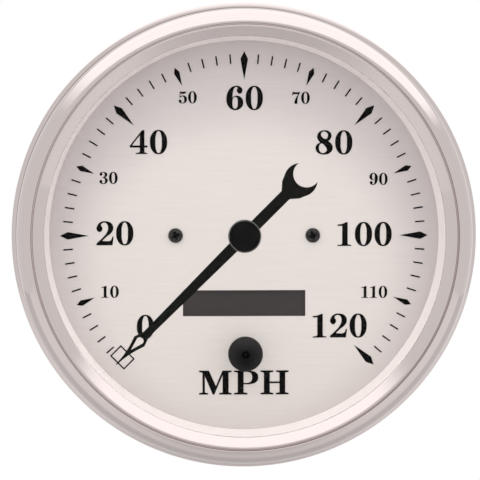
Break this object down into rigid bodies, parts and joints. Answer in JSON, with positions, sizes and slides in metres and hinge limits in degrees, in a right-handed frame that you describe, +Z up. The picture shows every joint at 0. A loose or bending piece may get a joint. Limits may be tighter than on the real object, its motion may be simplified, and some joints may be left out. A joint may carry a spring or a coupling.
{
  "type": "dash speedometer",
  "caption": "Round electric dash speedometer: polished rolled bezel, glass lens, white dial with a black spade pointer, display window and trip button, on a drawn steel case with rear studs.",
  "frame": {"origin": "on the instrument's axis, in the plane where the back of the bezel meets the panel", "axes": "+Y along the axis towards the back of the case, so the dial faces -Y; +Z up on the dial; +X to the right of someone who reads the dial"},
  "size_m": [0.1366, 0.0898, 0.1366],
  "materials": {
    "case_steel": "zinc plated drawn steel",
    "polished_bezel": "polished stainless steel",
    "lens_glass": "clear flat glass",
    "black_rubber": "matt rubber",
    "bright_reflector": "bright polished aluminium",
    "dial_paint": "satin silver-white paint on aluminium",
    "dial_ink": "matt black screen print",
    "black_screw": "black oxide",
    "pointer_black": "satin black paint on aluminium",
    "hub_black": "black moulded plastic",
    "spindle_steel": "ground steel",
    "magnet_ferrite": "dark sintered ferrite",
    "bobbin_plastic": "natural nylon",
    "copper_wire": "enamelled copper wire",
    "bearing_brass": "turned brass",
    "shield_steel": "nickel plated steel",
    "tinned_metal": "bright tin plate",
    "board_green": "green solder mask",
    "black_plastic": "black moulded plastic",
    "capacitor_sleeve": "blue shrink sleeve",
    "lcd_dark": "unlit liquid crystal display glass",
    "contact_silicone": "striped silicone",
    "backlight_white": "white diffuser",
    "knob_black": "black moulded plastic",
    "socket_plastic": "black glass filled nylon",
    "lamp_glass": "clear lamp glass",
    "tab_brass": "stamped brass",
    "zinc_steel": "bright zinc plated steel"
  },
  "bodies": {
    "case": {"case": "case_steel", "bezel": "polished_bezel", "lens_gasket": "black_rubber", "lens": "lens_glass", "reflector_ring": "bright_reflector", "dial": "dial_paint", "dial_scale": "dial_ink", "dial_screws": "black_screw", "movement_frame": "bobbin_plastic", "movement_screws": "zinc_steel", "bobbin_lower": "bobbin_plastic", "bobbin_upper": "bobbin_plastic", "inner_coil": "copper_wire", "outer_coil": "copper_wire", "upper_bearing": "bearing_brass", "lower_bearing": "bearing_brass", "magnetic_shield": "shield_steel", "return_magnet": "magnet_ferrite", "movement_pins": "tinned_metal", "main_board": "board_green", "processor_chip": "black_plastic", "filter_capacitors": "capacitor_sleeve", "voltage_regulator": "black_plastic", "board_crystal": "tinned_metal", "board_spacers": "bearing_brass", "board_screws": "zinc_steel", "display_board": "board_green", "display_spacers": "bearing_brass", "display_screws": "zinc_steel", "board_link": "tinned_metal", "lcd_glass": "lcd_dark", "lcd_holder": "black_plastic", "lcd_contact_strips": "contact_silicone", "lcd_backlight": "backlight_white", "tact_switch": "black_plastic", "stem_bushing": "zinc_steel", "bushing_nut": "zinc_steel", "mounting_studs": "zinc_steel", "stud_washers": "zinc_steel", "stud_nuts": "zinc_steel", "terminal_block": "socket_plastic", "terminal_tabs": "tab_brass", "terminal_rivets": "zinc_steel"},
    "pointer": {"pointer_blade": "pointer_black", "pointer_hub": "hub_black", "spindle": "spindle_steel", "rotor_magnet": "magnet_ferrite"},
    "trip_button": {"trip_knob": "knob_black", "trip_stem": "spindle_steel", "stem_clip": "spindle_steel", "switch_actuator": "black_plastic"},
    "left_lamp": {"left_lamp_socket": "socket_plastic", "left_lamp_bulb": "lamp_glass"},
    "right_lamp": {"right_lamp_socket": "socket_plastic", "right_lamp_bulb": "lamp_glass"}
  },
  "joints": [
    {"name": "pointer_sweep", "type": "hinge", "parent": "case", "child": "pointer", "pos_m": [0, 0, 0], "axis": [0, 1, 0], "range_deg": [0, 270], "stiffness_Nm_per_rad": 0.00002, "springref_deg": -11.46},
    {"name": "button_press", "type": "slide", "parent": "case", "child": "trip_button", "axis": [0, 1, 0], "range_m": [0, 0.001], "stiffness_N_per_m": 600, "springref_m": -0.002},
    {"name": "left_lamp_twist", "type": "hinge", "parent": "case", "child": "left_lamp", "pos_m": [-0.027, 0.057, 0.027], "axis": [0, 1, 0], "range_deg": [0, 45]},
    {"name": "right_lamp_twist", "type": "hinge", "parent": "case", "child": "right_lamp", "pos_m": [0.027, 0.057, 0.027], "axis": [0, 1, 0], "range_deg": [0, 45]}
  ]
}
